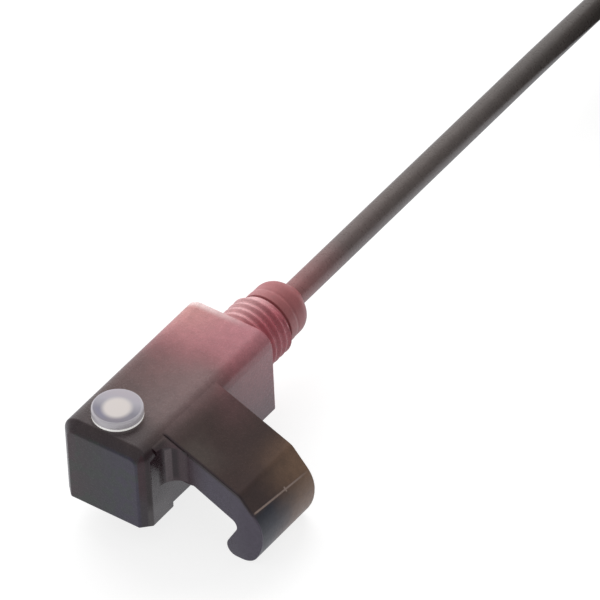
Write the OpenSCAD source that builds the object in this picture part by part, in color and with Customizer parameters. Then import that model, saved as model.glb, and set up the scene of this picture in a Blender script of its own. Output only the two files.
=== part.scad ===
// Magnetic field sensor: a small block with a hooked arm that grips a rail, a threaded stub and a cable.
// Modelled in millimetres with the block's left wall at x = 0, its front face at y = 0 and its underside
// at z = 0, then set down so that the hook's lowest edge stands on z = 0.

/* [Block] */
// Width of the block across its underside
block_width = 11.6; // [11.2:0.1:13]
// Length from the front face to the face that carries the stub
block_length = 24; // [23:0.5:30]
// Height from the underside to the top
block_height = 11.1; // [10.6:0.1:13]
// Radius of the two long top edges
top_edge_radius = 2.1; // [1:0.1:2.6]
// Bevel round the front face, left off its bottom edge
front_bevel = 1.15; // [0.4:0.05:1.3]
// Wall on the side away from the hook
left_wall = 1.2; // [0.9:0.1:1.6]
// Wall on the hook's side
hook_side_wall = 1.4; // [1.1:0.1:1.8]
// Wall behind the front face
front_wall = 1.5; // [1.3:0.1:2]
// Wall in front of the stub
rear_wall = 1.3; // [0.9:0.1:2]
// Wall over the potting
top_wall = 1.2; // [1:0.1:1.6]
// Radius of the pocket's upper edges
pocket_radius = 1; // [0.4:0.1:1.4]

/* [Hooked arm] */
// Distance from the front face to the arm
arm_setback = 4.8; // [3.5:0.1:8]
// Width of the arm along the block
arm_width = 9.9; // [7:0.1:13]
// Slope of the arm's flat top, in degrees
arm_slope = 22.7; // [18:0.1:26]
// Distance from the side wall to the shoulder, where the top turns down
shoulder_reach = 9.2; // [8.6:0.1:10]
// Slope of the flat below the shoulder, in degrees
shoulder_slope = 50; // [46:1:56]
// Radius at the shoulder
shoulder_radius = 1.5; // [0.5:0.1:3]
// Distance from the side wall to the hook's outermost point
hook_reach = 12.05; // [11.5:0.05:13]
// Radius of the hook's back above its outermost point
back_upper_radius = 4; // [2:0.1:4.4]
// Radius of the hook's back below its outermost point
back_lower_radius = 6.9; // [4:0.1:7.6]
// Slope of the heel below the hook's back, in degrees
heel_slope = 60; // [55:1:65]
// Radius between the heel and the hook's bottom
heel_radius = 2.3; // [1:0.1:2.6]
// Depth of the hook below the block's underside
hook_drop = 2.95; // [2.6:0.05:4]
// Width of the hook's mouth, from the side wall to the lip
mouth = 7.1; // [6:0.1:7.4]
// Radius of the lip's round nose
lip_radius = 1.28; // [1:0.02:1.5]
// Slope of the lip's inner face, in degrees
lip_slope = 60; // [55:1:68]
// Radius of the hollow above the lip
hollow_radius = 1; // [0.5:0.1:1.4]
// Height of the arm's level underside above the block's underside
underside_height = 4.8; // [4.2:0.1:5.2]
// Length of the level underside, from the side wall
underside_level = 3; // [1.5:0.1:4]
// Slope of the underside beyond it, in degrees
underside_slope = 25.6; // [22:0.1:28]
// Radius where the underside turns down
underside_radius = 1; // [0.3:0.1:3]
// Depth of the shallow step in the side wall below the arm
wall_step = 0.45; // [0.2:0.05:0.6]
// Radius of the web in the corner between the side wall and the arm's front
web_radius = 2.4; // [1.5:0.1:3.4]
// Height of the web's foot above the block's underside
web_foot = 5; // [4.9:0.1:6]
// Step from the arm's top down to the web
web_step = 0.1; // [0.1:0.1:2]

/* [Stub and cable entry] */
// Outer diameter of the threaded stub
stub_diameter = 8; // [7.4:0.1:8]
// Length of the stub
stub_length = 6.3; // [6:0.05:12]
// Height of the stub's axis above the underside
stub_height = 5.25; // [4.9:0.05:5.6]
// Bevel at the free end of the stub
stub_bevel = 0.4; // [0.2:0.1:0.8]
// Bore of the stub, for the seal and the gland's sleeve
stub_bore = 5.2; // [4.8:0.1:5.6]
// Bore through the rear wall, for the crimp ring
ring_bore = 4.4; // [4:0.1:4.6]
// Length of the crimp ring
ring_length = 1.8; // [1.5:0.1:2.4]
// Length of the rubber seal
seal_length = 1.2; // [0.8:0.1:2]
// Diameter of the gland's collar
collar_diameter = 7.1; // [7.1:0.1:7.4]
// Length of the collar
collar_length = 1.2; // [0.8:0.1:1.6]
// Diameter of the gland's nose
nose_diameter = 6.9; // [6.4:0.1:7]
// Length of the gland in front of the stub
nose_length = 5.15; // [4.4:0.05:6]
// Length of the nose's cone
nose_cone = 1.65; // [1.2:0.05:2.2]
// Radius between the nose and its cone
nose_radius = 2; // [0.5:0.1:2.6]
// Width and depth of the grooves on each side of the collar
collar_groove = 0.3; // [0.2:0.05:0.4]

/* [Lens] */
// Diameter of the signal lens
lens_diameter = 5.8; // [5.2:0.1:6]
// Distance from the front face to the lens's axis
lens_setback = 4.3; // [4.2:0.1:5]
// Distance of the lens's axis from the block's middle, away from the hook
lens_offset = 0.77; // [0:0.01:0.79]
// Height of the lens above the block's top
lens_rise = 1.2; // [0.6:0.1:1.6]
// Depth of the lens's seat in the block's top
lens_seat = 0.5; // [0.3:0.1:0.7]
// Diameter of the light guide under the lens
light_guide_diameter = 4.2; // [3:0.1:4.6]
// Radius of the lens's upper edge
lens_edge_radius = 0.15; // [0.1:0.05:0.5]
// Crown of the lens
lens_crown = 0.05; // [0.05:0.05:0.3]

/* [Circuit board] */
// Gap between the board's rear edge and the rear wall
board_rear_gap = 2.5; // [2.2:0.1:3.5]
// Thickness of the circuit board
board_thickness = 1; // [0.8:0.1:1.2]
// Gap between the board and each side wall
board_gap = 0.3; // [0.2:0.05:0.5]
// Gap between the front wall and the board
board_setback = 0.7; // [0.3:0.1:1]
// Height of the board's lower face above the block's underside
board_height = 3.5; // [3:0.1:3.6]

/* [Cable] */
// Diameter of the cable's jacket
cable_diameter = 3; // [2.7:0.1:3.4]
// Diameter of one insulated core
core_diameter = 0.86; // [0.7:0.02:0.88]
// Distance between neighbouring cores
core_pitch = 1.04; // [0.95:0.01:1.05]
// Diameter of a bare conductor
conductor_diameter = 0.45; // [0.3:0.05:0.55]
// Length of jacket that reaches into the pocket
jacket_inside = 0.7; // [0.4:0.1:1]

/* [Hidden] */
$fn = 64;
// Degrees of arc between two points of a rounded outline
arc_step = 7.5;
// Shortest edge worth keeping, and the reach of a cut past the face that it leaves
small = 0.001;
past = 0.5;
// Depth at which the arm's top starts inside the block's rounded edge, so that they meet in a clean line
arm_tuck = 0.05;

// Bodies of the standard components: across the board, along it, and high
sensor_body = [2.9, 1.3, 1.1];
led_body = [2, 1.25, 1.1];
evaluation_body = [3.9, 4.9, 1.5];
transistor_body = [1.3, 2.9, 1.1];
diode_body = [1.6, 2.6, 1.1];
capacitor_body = [1.25, 2, 0.9];
resistor_body = [1.4, 0.8, 0.45];
// Distances of the component rows from the board's front edge, and of the power row from its rear edge
evaluation_row = 5.8;
capacitor_rows = [4.5, 7.2];
resistor_rows = [4, 5.8, 7.6];
power_inset = 5;
// Distance of the power components from the board's middle, and of the small ones from its edge
power_side = 2.1;
edge_inset = 0.9;
// Solder joints: distance from the board's rear edge, radius and width
solder_inset = 2;
solder_radius = 1.1;
solder_width = 0.94;
// Length of bare conductor inside a solder joint, measured from the insulation's end
strip_length = 1.4;

hook_wall = block_width;
arm_end = arm_setback + arm_width;
pocket_end = block_length - rear_wall;
pocket_top = block_height - top_wall;
board_width = block_width - left_wall - hook_side_wall - 2 * board_gap;
board_middle = (left_wall + block_width - hook_side_wall) / 2;
board_start = front_wall + board_setback;
board_length = pocket_end - board_rear_gap - board_start;
power_row = board_length - power_inset;
board_top = board_height + board_thickness;
lens_place = [block_width / 2 - lens_offset, lens_setback];
stub_middle = block_width / 2;
stub_end = block_length + stub_length;
ring_end = pocket_end + ring_length;
seal_end = ring_end + seal_length;
exit_y = stub_end + nose_length;
jacket_end = pocket_end - jacket_inside;
solder_row = board_start + board_length - solder_inset;

// Cable route from the gland's mouth, ahead along y and up, then the coil beside its end
route_ahead = [0, 8, 16, 24, 32, 40, 48, 56, 62, 68];
route_up = [0, 0, 0, 0, 0, 0, 0, -0.1, -0.2, -0.25];
coil_ahead = 74;
coil_aside = 19.5;
coil_inner = 9;
coil_outer = 21;
coil_tall = 18;
tie_thickness = 0.6;
tie_angles = [115, 300];
tie_sweep = 14;
// Tail of the cable from the coil's centre, with heights above the surface that the coil lies on
tail_route = [[19.5, 6, 2.1], [19.5, 0, 2.1], [19.5, -6, 1.9], [19.3, -12, 1.6], [18.8, -18, 1.5],
    [18, -24, 1.5], [17, -30, 1.5]];
lead_length = 14;
lead_spread = 14;
lead_droop = 0.95;
tip_length = 5;

// Outline rounded at its corners, each given as [x, y, radius]
function unit(v) = v / norm(v);
function turned(v, a) = [v[0] * cos(a) - v[1] * sin(a), v[0] * sin(a) + v[1] * cos(a)];
function spot(c, i) = let (p = c[(i + len(c)) % len(c)]) [p[0], p[1]];
function radius_at(c, i) = c[(i + len(c)) % len(c)][2];
function edge(c, i) = norm(spot(c, i + 1) - spot(c, i));
function heading(c, i) = unit(spot(c, i + 1) - spot(c, i));
function bend(c, i) = acos(min(1, max(-1, heading(c, i - 1) * heading(c, i))));
function wanted_run(c, i) = radius_at(c, i) * tan(bend(c, i) / 2);
function share(c, i) = min(1, edge(c, i) / max(small, wanted_run(c, i) + wanted_run(c, i + 1)));
function corner_run(c, i) = wanted_run(c, i) * min(share(c, i - 1), share(c, i));
function corner_arc(c, i) =
    let (run = corner_run(c, i), turn = bend(c, i))
    run < small ? [spot(c, i)] :
    let (
        start = spot(c, i) - run * heading(c, i - 1),
        inward = unit(heading(c, i) - heading(c, i - 1)),
        centre = spot(c, i) + inward * run / sin(turn / 2),
        side = sign(cross(heading(c, i - 1), heading(c, i))),
        steps = ceil(turn / arc_step)
    )
    [for (k = [0 : steps]) centre + turned(start - centre, side * turn * k / steps)];
function distinct(p) = [for (i = [0 : len(p) - 1]) if (norm(p[(i + 1) % len(p)] - p[i]) > small) p[i]];
function rounded(c) = distinct([for (i = [0 : len(c) - 1]) each corner_arc(c, i)]);

// Point at x on the line that falls at an angle from a point, and the x at which two such lines meet
function on_slope(p, a, x) = [x, p[1] - (x - p[0]) * tan(a)];
function meet_x(p, a, q, b) = (q[1] - p[1] + q[0] * tan(b) - p[0] * tan(a)) / (tan(b) - tan(a));

// Outline of the block seen from the front, drawn in by an inset from its sides and top
function block_outline(inset) = rounded([
    [inset, 0, 0],
    [block_width - inset, 0, 0],
    [block_width - inset, block_height - inset, max(0, top_edge_radius - inset)],
    [inset, block_height - inset, max(0, top_edge_radius - inset)]
]);

// Where the arm's top leaves the block's rounded edge
top_leaves = [block_width, block_height] - top_edge_radius * [1, 1]
    + (top_edge_radius - arm_tuck) * [sin(arm_slope), cos(arm_slope)];
shoulder = on_slope(top_leaves, arm_slope, hook_wall + shoulder_reach);
back_x = hook_wall + hook_reach;
back_upper = on_slope(shoulder, shoulder_slope, back_x);
back_widest = back_upper[1] - back_upper_radius * tan((90 - shoulder_slope) / 2);
back_lower = [back_x, back_widest - back_lower_radius * tan((90 - heel_slope) / 2)];
heel = [back_x - (back_lower[1] + hook_drop) / tan(heel_slope), -hook_drop];
lip_middle = [hook_wall + mouth + lip_radius, lip_radius - hook_drop];
lip_inner = lip_middle + lip_radius * [-sin(lip_slope), cos(lip_slope)];
lip_toe = on_slope(lip_inner, -lip_slope, lip_inner[0] - (lip_inner[1] + hook_drop) / tan(lip_slope));
underside_bend = [hook_wall + underside_level, underside_height];
hollow_x = meet_x(lip_inner, -lip_slope, underside_bend, underside_slope);
hollow = on_slope(underside_bend, underside_slope, hollow_x);
root_x = top_leaves[0];

// Outline of the hooked arm seen from the front
function arm_outline() = rounded([
    [root_x, top_leaves[1], 0],
    [shoulder[0], shoulder[1], shoulder_radius],
    [back_upper[0], back_upper[1], back_upper_radius],
    [back_lower[0], back_lower[1], back_lower_radius],
    [heel[0], heel[1], heel_radius],
    [lip_toe[0], lip_toe[1], lip_radius],
    [hollow[0], hollow[1], hollow_radius],
    [underside_bend[0], underside_bend[1], underside_radius],
    [root_x, underside_height, 0]
]);

// Pushes an outline that is seen from the front back along y, from one distance to another
module from_front(start, end) {
    translate([0, end, 0]) rotate([90, 0, 0]) linear_extrude(end - start) children();
}

// Turns a profile of [radius, distance] about the stub's axis
module about_stub() {
    translate([stub_middle, 0, stub_height]) rotate([-90, 0, 0]) rotate_extrude() children();
}

// Round bar along the stub's axis, moved sideways where asked
module bar(diameter, start, end, aside = 0) {
    translate([stub_middle + aside, start, stub_height]) rotate([-90, 0, 0])
        cylinder(d = diameter, h = end - start);
}

// Sets the design down on its hook, centred on the block, arm and gland
module placed() {
    translate([-back_x / 2, -exit_y / 2, hook_drop]) children();
}

module block() {
    hull() {
        from_front(front_bevel, block_length) polygon(block_outline(0));
        from_front(0, front_bevel) polygon(block_outline(front_bevel));
    }
}

module arm() {
    from_front(arm_setback, arm_end) polygon(arm_outline());
}

// Web in the corner between the side wall and the arm's front, hollowed to a round plan
module web() {
    web_inside = hook_wall - 0.75 * hook_side_wall;
    web_end = hook_wall + web_radius;
    web_start = arm_setback - web_radius;
    intersection() {
        from_front(web_start - past, arm_setback + past) polygon([
            [web_inside, web_foot],
            [web_end, web_foot],
            on_slope(top_leaves, arm_slope, web_end) - [0, web_step],
            on_slope(top_leaves, arm_slope, web_inside) - [0, web_step]
        ]);
        linear_extrude(block_height) polygon(concat(
            [[web_end, arm_setback + past / 2], [web_inside - past / 2, arm_setback + past / 2]],
            [[web_inside - past / 2, web_start]],
            [for (a = [180 : -arc_step : 90]) [web_end, web_start] + web_radius * [cos(a), sin(a)]]
        ));
    }
}

module stub() {
    radius = stub_diameter / 2;
    about_stub() polygon([
        [0, block_length - past],
        [radius, block_length - past],
        [radius, stub_end - stub_bevel],
        [radius - stub_bevel, stub_end],
        [0, stub_end]
    ]);
}

module pocket(below = 0) {
    from_front(front_wall, pocket_end) polygon(rounded([
        [left_wall, -below, 0],
        [block_width - hook_side_wall, -below, 0],
        [block_width - hook_side_wall, pocket_top, pocket_radius],
        [left_wall, pocket_top, pocket_radius]
    ]));
}

module lens_holes() {
    translate([lens_place[0], lens_place[1], block_height - lens_seat])
        cylinder(d = lens_diameter, h = lens_seat + past);
    translate([lens_place[0], lens_place[1], pocket_top - past])
        cylinder(d = light_guide_diameter, h = top_wall + past);
}

module housing() {
    color([0.27, 0.22, 0.22]) difference() {
        union() {
            block();
            arm();
            web();
            stub();
        }
        pocket(past);
        lens_holes();
        bar(ring_bore, pocket_end - past, ring_end);
        bar(stub_bore, ring_end, stub_end + past);
        translate([hook_wall - wall_step, arm_setback, -past])
            cube([wall_step + past, arm_width, underside_height + past]);
    }
}

// Lens and light guide in one piece, down to the light source
module led_lens() {
    rim = lens_diameter / 2;
    top = block_height + lens_rise;
    sphere_radius = (rim * rim + lens_crown * lens_crown) / (2 * lens_crown);
    crown_reach = rim - lens_edge_radius;
    function crown_at(r) = top - sphere_radius + sqrt(sphere_radius * sphere_radius - r * r);
    guide = light_guide_diameter / 2;
    guide_end = board_top + led_body[2];
    seat = block_height - lens_seat;
    color([0.86, 0.87, 0.93, 0.8]) translate([lens_place[0], lens_place[1], 0]) rotate_extrude()
        polygon(concat(
            [[0, guide_end], [guide, guide_end], [guide, seat], [rim, seat]],
            [for (a = [0 : 15 : 75]) [crown_reach + lens_edge_radius * cos(a),
                crown_at(crown_reach) - lens_edge_radius * (1 - sin(a))]],
            [for (k = [4 : -1 : 0]) [crown_reach * k / 4, crown_at(crown_reach * k / 4)]]
        ));
}

// Component body on the board's upper face, or hung from its lower one
module component(body, across, along, below = false) {
    translate([board_middle + across - body[0] / 2, board_start + along - body[1] / 2,
        below ? board_height - body[2] : board_top]) cube(body);
}

module circuit_board() {
    color([0.1, 0.35, 0.2]) translate([board_middle - board_width / 2, board_start, board_height])
        cube([board_width, board_length, board_thickness]);
}

module led_chip() {
    color([0.95, 0.9, 0.7]) component(led_body, lens_place[0] - board_middle, lens_place[1] - board_start);
}

module sensor_chip() {
    color([0.1, 0.1, 0.11]) component(sensor_body, 0, lens_place[1] - board_start, true);
}

module evaluation_chip() {
    color([0.1, 0.1, 0.11]) component(evaluation_body, 0, evaluation_row);
}

module output_transistor() {
    color([0.1, 0.1, 0.11]) component(transistor_body, -power_side, power_row);
}

module protection_diode() {
    color([0.12, 0.12, 0.13]) component(diode_body, power_side, power_row);
}

module capacitor(k) {
    color([0.7, 0.58, 0.42]) component(capacitor_body, edge_inset - board_width / 2, capacitor_rows[k]);
}

module resistor(k) {
    color([0.13, 0.13, 0.14]) component(resistor_body, board_width / 2 - edge_inset, resistor_rows[k]);
}

// Insulated core from the jacket's end to its solder joint, with its bare conductor
function core_x(k) = stub_middle + (k - 1) * core_pitch;

module wire(k) {
    insulation_end = solder_row + strip_length;
    bar(core_diameter, insulation_end, jacket_end, core_x(k) - stub_middle);
    bar(conductor_diameter, solder_row, insulation_end, core_x(k) - stub_middle);
}

module solder(k) {
    color([0.75, 0.76, 0.78]) difference() {
        intersection() {
            translate([core_x(k), solder_row, board_top]) sphere(r = solder_radius);
            translate([core_x(k) - solder_width / 2, solder_row - solder_radius, board_top])
                cube([solder_width, 2 * solder_radius, 2 * solder_radius]);
        }
        wire(k);
    }
}

// Potting that fills the pocket round everything in it
module potting() {
    color([0.14, 0.13, 0.13]) difference() {
        pocket();
        led_lens();
        circuit_board();
        led_chip();
        sensor_chip();
        evaluation_chip();
        output_transistor();
        protection_diode();
        for (k = [0 : 1]) capacitor(k);
        for (k = [0 : 2]) {
            resistor(k);
            wire(k);
            solder(k);
        }
        bar(cable_diameter, jacket_end, pocket_end + past);
    }
}

module crimp_ring() {
    color([0.72, 0.72, 0.74]) difference() {
        bar(ring_bore, pocket_end, ring_end);
        bar(cable_diameter, pocket_end - past, ring_end + past);
    }
}

module cable_seal() {
    color([0.08, 0.08, 0.08]) difference() {
        bar(stub_bore, ring_end, seal_end);
        bar(cable_diameter, ring_end - past, seal_end + past);
    }
}

// Sleeve inside the stub, a collar between two grooves and a nose that closes down to the cable
module cable_gland() {
    bore = cable_diameter / 2;
    groove = nose_diameter / 2 - collar_groove;
    collar_start = stub_end + collar_groove;
    collar_end = collar_start + collar_length;
    nose_start = collar_end + collar_groove;
    color([0.5, 0.25, 0.26]) about_stub() polygon(rounded([
        [bore, seal_end, 0],
        [stub_bore / 2, seal_end, 0],
        [stub_bore / 2, stub_end, 0],
        [groove, stub_end, 0],
        [groove, collar_start, 0],
        [collar_diameter / 2, collar_start, 0.15],
        [collar_diameter / 2, collar_end, 0.3],
        [groove, collar_end, 0],
        [groove, nose_start, 0],
        [nose_diameter / 2, nose_start, 0.15],
        [nose_diameter / 2, exit_y - nose_cone, nose_radius],
        [bore + 0.12, exit_y, 0],
        [bore, exit_y, 0]
    ]));
}

module cable_root() {
    color([0.33, 0.27, 0.27]) bar(cable_diameter, jacket_end, exit_y);
}

// Round tube swept along a route, as flat-sided rings joined by triangles
function route_heading(p, i) = unit(p[min(i + 1, len(p) - 1)] - p[max(i - 1, 0)]);
function ring(p, i, radius, sides) =
    let (ahead = route_heading(p, i), across = unit(cross(ahead, [0, 0, 1])), up = cross(across, ahead))
    [for (s = [0 : sides - 1]) p[i] + radius * (cos(360 * (s + 0.5) / sides) * across
        + sin(360 * (s + 0.5) / sides) * up)];

module tube(route, diameter) {
    sides = 8;
    last = len(route) - 1;
    polyhedron(
        points = [for (i = [0 : last]) each ring(route, i, diameter / 2, sides)],
        faces = concat(
            [[for (s = [0 : sides - 1]) s]],
            [for (i = [0 : last - 1]) for (s = [0 : sides - 1])
                let (a = i * sides + s, b = i * sides + (s + 1) % sides)
                each [[a, a + sides, b + sides], [a, b + sides, b]]],
            [[for (s = [sides - 1 : -1 : 0]) last * sides + s]]
        )
    );
}

cable_exit = [stub_middle, exit_y, stub_height];
coil_middle = [stub_middle + coil_aside, exit_y + coil_ahead, -hook_drop];
tail_points = [for (p = tail_route) coil_middle + p];
tail_end = tail_points[len(tail_points) - 1];
tail_heading = route_heading(tail_points, len(tail_points) - 1);
tail_angle = atan2(tail_heading[1], tail_heading[0]);

module cable() {
    color([0.3, 0.28, 0.27]) tube([for (i = [0 : len(route_ahead) - 1])
        cable_exit + [0, route_ahead[i], route_up[i]]], cable_diameter);
}

module cable_coil() {
    color([0.28, 0.27, 0.26]) translate(coil_middle + [0, 0, tie_thickness]) rotate_extrude()
        translate([coil_inner, 0]) square([coil_outer - coil_inner, coil_tall]);
}

// Strap round the coil's section
module coil_tie(k) {
    color([0.1, 0.1, 0.1]) translate(coil_middle) rotate([0, 0, tie_angles[k]])
        rotate_extrude(angle = tie_sweep) difference() {
            translate([coil_inner - tie_thickness, 0])
                square([coil_outer - coil_inner + 2 * tie_thickness, coil_tall + 2 * tie_thickness]);
            translate([coil_inner, tie_thickness]) square([coil_outer - coil_inner, coil_tall]);
        }
}

module cable_tail() {
    color([0.28, 0.27, 0.26]) tube(tail_points, cable_diameter);
}

// Free cores, which leave the jacket's end side by side, spread and come down to the surface
function lead_point(k, t) =
    let (a = tail_angle + (k - 1) * lead_spread * t, side = turned([0, (k - 1) * core_pitch], tail_angle))
    tail_end + [side[0], side[1], 0] + [cos(a), sin(a), 0] * lead_length * t
    + [0, 0, -(cable_diameter - core_diameter) / 2 * min(1, t / lead_droop)];

module lead(k) {
    tube([for (t = [0 : 0.2 : 1]) lead_point(k, t)], core_diameter);
}

module tip(k) {
    ahead = unit(lead_point(k, 1) - lead_point(k, 0.98));
    tube([lead_point(k, 1), lead_point(k, 1) + ahead * tip_length], conductor_diameter);
}

placed() housing();
placed() led_lens();
placed() potting();
placed() circuit_board();
placed() led_chip();
placed() sensor_chip();
placed() evaluation_chip();
placed() output_transistor();
placed() protection_diode();
placed() capacitor(0);  // capacitor_1
placed() capacitor(1);  // capacitor_2
placed() resistor(0);  // resistor_1
placed() resistor(1);  // resistor_2
placed() resistor(2);  // resistor_3
placed() solder(0);  // solder_brown
placed() solder(1);  // solder_blue
placed() solder(2);  // solder_black
placed() color([0.35, 0.2, 0.12]) wire(0);  // wire_brown
placed() color([0.12, 0.25, 0.6]) wire(1);  // wire_blue
placed() color([0.05, 0.05, 0.05]) wire(2);  // wire_black
placed() crimp_ring();
placed() cable_seal();
placed() cable_gland();
placed() cable_root();
placed() cable();
placed() cable_coil();
placed() coil_tie(0);  // coil_tie_1
placed() coil_tie(1);  // coil_tie_2
placed() cable_tail();
placed() color([0.35, 0.2, 0.12]) lead(0);  // lead_brown
placed() color([0.12, 0.25, 0.6]) lead(1);  // lead_blue
placed() color([0.05, 0.05, 0.05]) lead(2);  // lead_black
placed() color([0.75, 0.76, 0.78]) tip(0);  // tip_brown
placed() color([0.75, 0.76, 0.78]) tip(1);  // tip_blue
placed() color([0.75, 0.76, 0.78]) tip(2);  // tip_black
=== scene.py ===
import math
import bpy
import bmesh
from mathutils import Matrix, Vector


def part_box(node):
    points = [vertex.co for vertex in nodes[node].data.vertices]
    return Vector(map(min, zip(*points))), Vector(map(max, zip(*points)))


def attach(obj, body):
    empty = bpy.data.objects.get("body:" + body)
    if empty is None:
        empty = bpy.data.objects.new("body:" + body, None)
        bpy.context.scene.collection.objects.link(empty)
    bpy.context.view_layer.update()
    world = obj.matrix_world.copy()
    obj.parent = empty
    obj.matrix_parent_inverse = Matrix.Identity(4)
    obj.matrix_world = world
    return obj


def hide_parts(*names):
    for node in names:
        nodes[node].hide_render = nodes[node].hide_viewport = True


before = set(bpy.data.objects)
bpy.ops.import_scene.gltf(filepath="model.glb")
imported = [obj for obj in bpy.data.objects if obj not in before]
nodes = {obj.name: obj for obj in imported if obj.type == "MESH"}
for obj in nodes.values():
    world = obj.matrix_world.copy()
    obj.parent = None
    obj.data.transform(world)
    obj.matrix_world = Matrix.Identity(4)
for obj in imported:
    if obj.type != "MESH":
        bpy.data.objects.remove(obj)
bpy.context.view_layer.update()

# Millimetres of the design, whose zero is the block's lower front left corner
MM = 0.001
BLOCK_WIDTH, BLOCK_LENGTH, BLOCK_HEIGHT = 11.6, 24.0, 11.1
housing_low, housing_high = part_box("housing")
ZERO = Vector((housing_low.x, housing_low.y, housing_high.z - BLOCK_HEIGHT * MM))

# Stub, gland and cable, along one axis
STUB_AXIS_X, STUB_AXIS_Z = 5.8, 5.25
STUB_END = 30.3
GLAND_BACK, GLAND_MOUTH = 26.0, 35.45
CABLE_DIAMETER = 3.0

# Signal lens
LENS_X, LENS_Y = 5.03, 4.3
LENS_RADIUS, LENS_TOP = 2.9, BLOCK_HEIGHT + 1.2


def place(x, y, z):
    """Point of the design, in millimetres, as a point of the part in metres."""
    return ZERO + Vector((x, y, z)) * MM


def ease(value, low, high):
    """Smooth rise from 0 to 1 between two values, held outside them."""
    t = min(1, max(0, (value - low) / (high - low)))
    return t * t * (3 - 2 * t)


# Camera: its place in metres, its angles in degrees and its lens in millimetres

CAMERA_SPOT = (0.39918, -0.511255, 0.60428)
CAMERA_AZIMUTH, CAMERA_ELEVATION, CAMERA_ROLL = 37.374, 41.840, -2.7257
SENSOR_WIDTH, FOCAL_LENGTH = 36, 480


def make_camera():
    """Long lens at the photograph's viewing angle."""
    azimuth, elevation, roll = (math.radians(a) for a in (CAMERA_AZIMUTH, CAMERA_ELEVATION, CAMERA_ROLL))
    back = Vector((math.sin(azimuth) * math.cos(elevation),
                   -math.cos(azimuth) * math.cos(elevation), math.sin(elevation)))
    level = Vector((math.cos(azimuth), math.sin(azimuth), 0))
    upward = back.cross(level)
    right = math.cos(roll) * level + math.sin(roll) * upward
    up = math.cos(roll) * upward - math.sin(roll) * level
    data = bpy.data.cameras.new("camera")
    data.sensor_width = SENSOR_WIDTH
    data.lens = FOCAL_LENGTH
    data.clip_start = 0.05
    data.clip_end = 20
    camera = bpy.data.objects.new("camera", data)
    facing = Matrix((right, up, back)).transposed().to_4x4()
    camera.matrix_world = Matrix.Translation(CAMERA_SPOT) @ facing
    bpy.context.collection.objects.link(camera)
    bpy.context.scene.camera = camera


# Cable, whose route is in millimetres of the part

CABLE_EXIT = (-6.025, 17.725, 8.2)
COIL_CENTRE = (13.475, 91.725)
COIL_WIDE, COIL_NARROW, COIL_BULGE = 19.5, 10.5, 3.2
LAYER_HEIGHTS = (2.1, 5.1, 8.1, 11.1, 14.1, 17.1)
TURN_POINTS = 16


def coil_points():
    """Six layers of three turns: four upward from the third, a drop past the outside, then the lowest two.

    Angles run clockwise from the coil's west point, where the straight run arrives.
    """
    floor_layer, second, third, fourth, fifth, top = LAYER_HEIGHTS
    # Degrees that a leg sweeps
    layer, step, drop = 1080, 120, 110
    before_drop, before_tail = 80, 230
    # Each leg's sweep, its radius and height from and to, and how far it bulges outward
    legs = [
        (layer, COIL_WIDE, COIL_NARROW, third, third, 0),
        (step, COIL_NARROW, COIL_NARROW, third, fourth, 0),
        (layer, COIL_NARROW, COIL_WIDE, fourth, fourth, 0),
        (step, COIL_WIDE, COIL_WIDE, fourth, fifth, 0),
        (layer, COIL_WIDE, COIL_NARROW, fifth, fifth, 0),
        (step, COIL_NARROW, COIL_NARROW, fifth, top, 0),
        (layer, COIL_NARROW, COIL_WIDE, top, top, 0),
        (before_drop, COIL_WIDE, COIL_WIDE, top, top, 0),
        (drop, COIL_WIDE, COIL_WIDE, top, second, COIL_BULGE),
        (layer, COIL_WIDE, COIL_NARROW, second, second, 0),
        (step, COIL_NARROW, COIL_NARROW, second, floor_layer, 0),
        (layer, COIL_NARROW, COIL_WIDE, floor_layer, floor_layer, 0),
        (before_tail, COIL_WIDE, COIL_WIDE, floor_layer, floor_layer, 0),
    ]
    points, swept = [], 0
    for sweep, radius_from, radius_to, height_from, height_to, bulge in legs:
        steps = round(sweep * TURN_POINTS / 360)
        for k in range(steps):
            t = k / steps
            radius = radius_from + (radius_to - radius_from) * t + bulge * math.sin(math.pi * t)
            angle = math.radians(swept + sweep * t)
            points.append((COIL_CENTRE[0] - radius * math.cos(angle),
                           COIL_CENTRE[1] + radius * math.sin(angle),
                           height_from + (height_to - height_from) * ease(t, 0, 1)))
        swept += sweep
    return points


def cable_points():
    """The whole route: straight out of the gland, the coil and the tail beside it."""
    exit_x, exit_y, exit_z = CABLE_EXIT
    ahead = [0, 8, 16, 24, 32, 40, 48, 56, 62, 68]
    up = [0, 0, 0, 0, 0, 0, 0, -0.1, -0.2, -0.25]
    run = [(exit_x, exit_y + a, exit_z + u) for a, u in zip(ahead, up)]
    tail = [(19.5, 0, 2.1), (19.5, -6, 1.9), (19.3, -12, 1.6), (18.8, -18, 1.5), (18, -24, 1.5),
            (17, -30, 1.5)]
    end = [(COIL_CENTRE[0] + x, COIL_CENTRE[1] + y, z) for x, y, z in tail]
    return run + coil_points() + end


def make_cable(finish):
    """The jacket as one cord."""
    curve = bpy.data.curves.new("cable_line", "CURVE")
    curve.dimensions = "3D"
    curve.resolution_u = 4
    curve.bevel_depth = CABLE_DIAMETER / 2 * MM
    curve.bevel_resolution = 7
    curve.use_fill_caps = True
    points = cable_points()
    spline = curve.splines.new("BEZIER")
    spline.bezier_points.add(len(points) - 1)
    for knot, point in zip(spline.bezier_points, points):
        knot.co = Vector(point) * MM
        knot.handle_left_type = knot.handle_right_type = "AUTO"
    curve.materials.append(finish)
    cable = bpy.data.objects.new("cable_line", curve)
    bpy.context.collection.objects.link(cable)
    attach(cable, "root")
    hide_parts("cable", "cable_coil", "cable_tail")


# Material building blocks

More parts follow.
